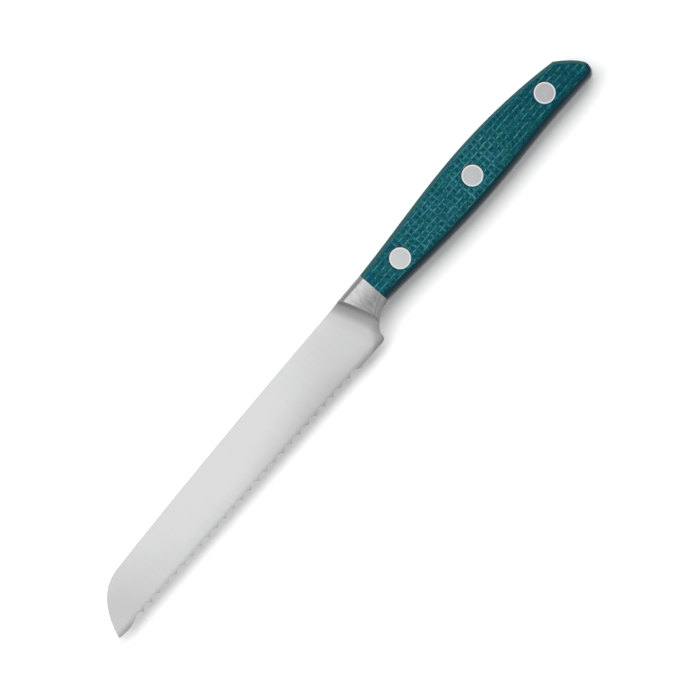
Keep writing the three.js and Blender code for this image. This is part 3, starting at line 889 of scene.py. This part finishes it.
# Tinted resin on the faces, and the edges of the cloth layers on the rounded sides, whose tones also carry
# painted shade: darker on the belly side, lighter on the spine side. A painted shadow rings each rivet seat.
layer_pitch = 0.55
layer_waver = 0.3
seat_shadow = (3.65, 4.0)
seat_shade = 0.5
deep_blue, deep_green = (0.0015, 0.05, 0.076), (0.0015, 0.062, 0.067)
pale_blue, pale_green = (0.009, 0.12, 0.176), (0.011, 0.14, 0.155)
cut_dark, cut_light = (0.045, 0.065, 0.075), (0.09, 0.11, 0.118)
turn_dark, turn_light = (0.002, 0.045, 0.068), (0.008, 0.062, 0.085)
spine_dark, spine_light = (0.012, 0.068, 0.076), (0.086, 0.156, 0.158)
thread_colour = (0.13, 0.45, 0.48, 1.0)
seat_colour = (0.002, 0.02, 0.025, 1.0)
speckle = grain(at, 2.2, 2.2, 1.0, detail=1.0)
mottle = grain(at, 1.1, 1.1, 0.8, detail=4.0)
hue = eased(grain(at, 0.35, 0.5, 0.4, detail=3.0), 0.35, 0.65)
faces_out, faces_spine = facing(tree)
flat = eased(faces_out, 0.72, 0.93)
layer = ((out + (mottle - 0.5) * layer_waver) / layer_pitch).math("FRACT")
layer_line = 1.0 - eased((layer - 0.5).math("ABSOLUTE"), 0.1, 0.35)
round_rivet = 1.0 - eased(from_rivet(at), *seat_shadow)
# The resin darkens a little towards the butt: painted shade.
resin = blend(
    eased(mottle * 0.55 + speckle * 0.45 - towards_butt * 0.055, 0.38, 0.62),
    tinted(hue, deep_blue, deep_green),
    tinted(hue, pale_blue, pale_green),
)
shaded_belly_side = blend(
    eased(faces_out, 0.2, 0.65),
    tinted(layer_line, cut_dark, cut_light),
    tinted(layer_line, turn_dark, turn_light),
)
lit_spine_side = tinted(layer_line * 0.5 + mottle * 0.5, spine_dark, spine_light)
side = blend(eased(faces_spine, 0.0, 0.3), shaded_belly_side, lit_spine_side)
face = blend(thread, resin, thread_colour)
colour = blend(round_rivet * seat_shade, blend(flat, side, face), seat_colour)
cloth = thread * flat
relief = Wire.node(tree, "ShaderNodeBump", None, {
    "Strength": 0.25, "Distance": 0.03 * MM, "Height": cloth + mottle * 0.3,
})
show(tree, Wire.node(tree, "ShaderNodeBsdfPrincipled", None, {
    "Base Color": colour, "Roughness": 0.6 - cloth * 0.1, "Specular IOR Level": 0.04, "Normal": relief,
}))


def scale_piece(name, side, *nodes):
    """One scale: the outline grown into a slab, drilled, and dressed in canvas."""
    ring = outline if side > 0 else outline[::-1]
    way = inward if side > 0 else inward[::-1]
    count = len(ring)
    plan = np.column_stack([ring[:, :2], np.full(count, side * half_tang)])
    base = mesh_of(name, plan, [tuple(range(count))])
    flat_plan = np.column_stack([ring[:, :2] * MM + home[:2], np.zeros(count)])
    for label, values in (("plan", flat_plan), ("inward", np.column_stack([way, np.zeros(count)]))):
        attribute = base.attributes.new(label, "FLOAT_VECTOR", "POINT")
        attribute.data.foreach_set("vector", values.astype(np.float32).ravel())
    for label, values in (("round_width", ring[:, 2] * MM), ("round_depth", ring[:, 3] * MM),
                          ("round_crease", ring[:, 4])):
        attribute = base.attributes.new(label, "FLOAT", "POINT")
        attribute.data.foreach_set("value", values.astype(np.float32))
    blank = made_by(slab, slab_in, name, base, {"Side": float(side), "Finish": canvas})
    drilled = bored(blank, scale_seat_radius, side * (head_seat + drill_length / 2), canvas)
    dress(drilled, "canvas_laminate", *nodes, crease=24)


scale_piece("left_canvas_scale", 1, "left_scale")
scale_piece("right_canvas_scale", -1, "right_scale")


# Rivets. Three cutler's rivets of stainless steel, each a solid pin pressed into a hollow tube
# from the other face. The heads are turned, set in their seats and sanded flush with the scales.

head_radius = 3.55
head_flat = 3.0
rim_steps = ((0.0, 0.09), (0.02, 0.03), (0.07, 0.005), (0.14, 0.0))
pin_radius = 1.5
pin_end = -4.5
pin_chamfer = 0.15
tube_radius = 2.2
tube_bore = 1.55
tube_end = 3.5
tube_floor = -5.3
tube_chamfer = 0.1
row, wire, row_in = node_group("rivet_row", {"Count": INT, "Pitch": FLOAT})
step = Wire.node(row, "ShaderNodeCombineXYZ", None, {0: wire["Pitch"]})
line = Wire.node(row, "GeometryNodeMeshLine", None, {"Count": wire["Count"], "Offset": step})
group_end(row, Wire.node(row, "GeometryNodeInstanceOnPoints", None, {
    "Points": line, "Instance": wire["Geometry"],
}), wire["Finish"])

rivet_steel, tree, at = finish("rivet_steel")
rivet_dark = (0.2, 0.2, 0.202)
rivet_light = (0.84, 0.85, 0.866)
sanding = grain(at, 0.12, 9.0, 9.0, detail=3.0)
patches = grain(at, 0.3, 0.3, 0.3)
rim_fade = 0.18
on_rim = eased(from_rivet(at), head_flat, head_flat + rim_fade)
rivet_polish, sanding_contrast, patch_contrast = 0.75, 0.2, 0.15
rivet_butt_shade, rim_highlight = 0.0032, 0.75
# Painted shade darkens the heads towards the butt, and a painted highlight brightens their chamfered rim,
# over the sanding marks and patches.
polish_and_painted_light = rivet_polish + (sanding - 0.5) * sanding_contrast + (patches - 0.5) * patch_contrast
polish_and_painted_light = polish_and_painted_light - (split(at)[0] - joint_x / MM) * rivet_butt_shade + on_rim * rim_highlight
scratch = Wire.node(tree, "ShaderNodeBump", None, {
    "Strength": 0.1, "Distance": 0.02 * MM, "Height": sanding,
})
show(tree, Wire.node(tree, "ShaderNodeBsdfPrincipled", None, {
    "Base Color": tinted(polish_and_painted_light, rivet_dark, rivet_light), "Metallic": 1.0,
    "Roughness": 0.3 + (sanding - 0.5) * 0.12, "Normal": scratch,
}))


def turned_half(name, profile, turns=96):
    """One rivet half, turned on the lathe about the upright through the first bore."""
    work = bmesh.new()
    corners = [work.verts.new((radius, 0, height)) for radius, height in profile]
    edges = [work.edges.new(pair) for pair in zip(corners, corners[1:])]
    bmesh.ops.spin(work, geom=corners + edges, cent=(0, 0, 0), axis=(0, 0, 1), angle=2 * math.pi,
                   steps=turns, use_merge=True)
    bmesh.ops.remove_doubles(work, verts=work.verts, dist=1e-4)
    bmesh.ops.recalc_face_normals(work, faces=work.faces)
    for corner in work.verts:
        corner.co = Vector(((np.array(corner.co) + (first_rivet, 0, 0)) * MM + home).tolist())
    made = bpy.data.meshes.new(name)
    work.to_mesh(made)
    work.free()
    return made


rim = [(head_radius - inset, half_handle - drop) for inset, drop in rim_steps] + [(head_flat, half_handle)]
pin_profile = [
    (0, pin_end), (pin_radius - pin_chamfer, pin_end), (pin_radius, pin_end + pin_chamfer),
    (pin_radius, head_seat), (head_radius, head_seat), *rim, (0, half_handle),
]
tube_profile = [
    (0, -half_handle), *[(radius, -height) for radius, height in rim[::-1]],
    (head_radius, -head_seat), (tube_radius, -head_seat), (tube_radius, tube_end - tube_chamfer),
    (tube_radius - tube_chamfer, tube_end), (tube_bore + tube_chamfer, tube_end),
    (tube_bore, tube_end - tube_chamfer), (tube_bore, tube_floor), (0, tube_floor),
]
for name, kind, profile in (("rivet_pins", "pin", pin_profile), ("rivet_tubes", "tube", tube_profile)):
    rivets = made_by(row, row_in, name, turned_half(name, profile), {
        "Count": rivet_count, "Pitch": rivet_pitch * MM, "Finish": rivet_steel,
    })
    dress(rivets, "rivet_steel", *[f"rivet_{place}_{kind}" for place in ("front", "middle", "rear")],
          crease=40)


# Studio. A white table, one broad soft light from the spine's side and an even fill, seen almost
# straight from above with the knife lying across the picture's diagonal.

bpy.context.scene.view_settings.view_transform = "Standard"

table_half = 3.0
table_top = -0.05 * MM
table_grey = (0.85, 0.85, 0.85, 1)
table_shown = (1.3, 1.3, 1.3, 1)
table_corners = [(-1, -1), (1, -1), (1, 1), (-1, 1)]
table_mesh = bpy.data.meshes.new("table")
table_mesh.from_pydata([(x * table_half, y * table_half, table_top) for x, y in table_corners], [],
                       [(0, 1, 2, 3)])
table = bpy.data.objects.new("table", table_mesh)
bpy.context.scene.collection.objects.link(table)
white, tree, at = finish("table_white")
path = Wire.node(tree, "ShaderNodeLightPath")
seen = path.math("MAXIMUM", path.out("Is Transmission Ray")).math("MAXIMUM", path.out("Is Glossy Ray"))
show(tree, Wire.node(tree, "ShaderNodeBsdfDiffuse", None, {"Color": blend(seen, table_grey, table_shown)}))
table_mesh.materials.append(white)

# The camera sees a white backdrop. Metal sees a white ceiling along the knife and dim walls beside it.
fill = 0.44
end_dimming = 0.45
side_dimming = 0.6
ceiling_middle = 0.08
ceiling_edge = (0.2, 0.8)
world = bpy.data.worlds.new("studio")
bpy.context.scene.world = world
world.use_nodes = True
tree = world.node_tree
tree.nodes.clear()
path = Wire.node(tree, "ShaderNodeLightPath")
away = split(Wire.node(tree, "ShaderNodeTexCoord"))
beside = eased((away[1] - ceiling_middle).math("ABSOLUTE"), *ceiling_edge)
room = (1.0 - away[0].math("ABSOLUTE") * end_dimming) * (1.0 - beside * side_dimming)
seen = path.math("MAXIMUM", path.out("Is Transmission Ray"))
back = Wire.node(tree, "ShaderNodeBackground", None, {
    "Color": (1, 1, 1, 1), "Strength": fill + seen * (1.0 - fill) + path.out("Is Glossy Ray") * (room - fill),
})
tree.links.new(back.socket, tree.nodes.new("ShaderNodeOutputWorld").inputs["Surface"])

lamp = bpy.data.lights.new("softbox", "AREA")
lamp.shape = "RECTANGLE"
lamp.size = 2.0
lamp.size_y = 0.45
lamp.energy = 5.9
lamp_distance = 0.75
lamp_lean = math.radians(23)
lamp_shift = Vector((0.1, 0, 0))
lamp_way = Vector((0, math.sin(lamp_lean), math.cos(lamp_lean)))
lamp_object = bpy.data.objects.new("softbox", lamp)
bpy.context.scene.collection.objects.link(lamp_object)
lamp_object.location = lamp_way * lamp_distance + lamp_shift
lamp_object.visible_glossy = False
lamp_object.rotation_mode = "QUATERNION"
lamp_object.rotation_quaternion = (-lamp_way).to_track_quat("-Z", "Y")

# The picture is 700 wide; a pixel covers 0.321 mm of the knife's upper face. The middle rivet lies
# this many pixels to the right of the picture's middle and above it.
picture_pixels = 700
pixel = 0.321 * MM
rivet_right = 122.4
rivet_up = 174.4
turn, tilt = math.radians(48.85), math.radians(4.5)
stand_off = 4.5
sensor = 36
across = Vector((1, 0, 0))
spineward = Vector((0, math.cos(tilt), math.sin(tilt)))
back_way = Vector((0, -math.sin(tilt), math.cos(tilt)))
right_way = math.cos(turn) * across - math.sin(turn) * spineward
up_way = math.sin(turn) * across + math.cos(turn) * spineward
middle_rivet = Vector(((np.array([first_rivet + rivet_pitch, 0, half_handle]) * MM) + home).tolist())
target = middle_rivet - (right_way * rivet_right + up_way * rivet_up) * pixel
camera_data = bpy.data.cameras.new("camera")
camera_data.sensor_width = sensor
camera_data.lens = sensor * stand_off / (picture_pixels * pixel)
camera = bpy.data.objects.new("camera", camera_data)
bpy.context.scene.collection.objects.link(camera)
camera.location = target + back_way * stand_off
camera.rotation_mode = "QUATERNION"
camera.rotation_quaternion = Matrix([right_way, up_way, back_way]).transposed().to_quaternion()
bpy.context.scene.camera = camera
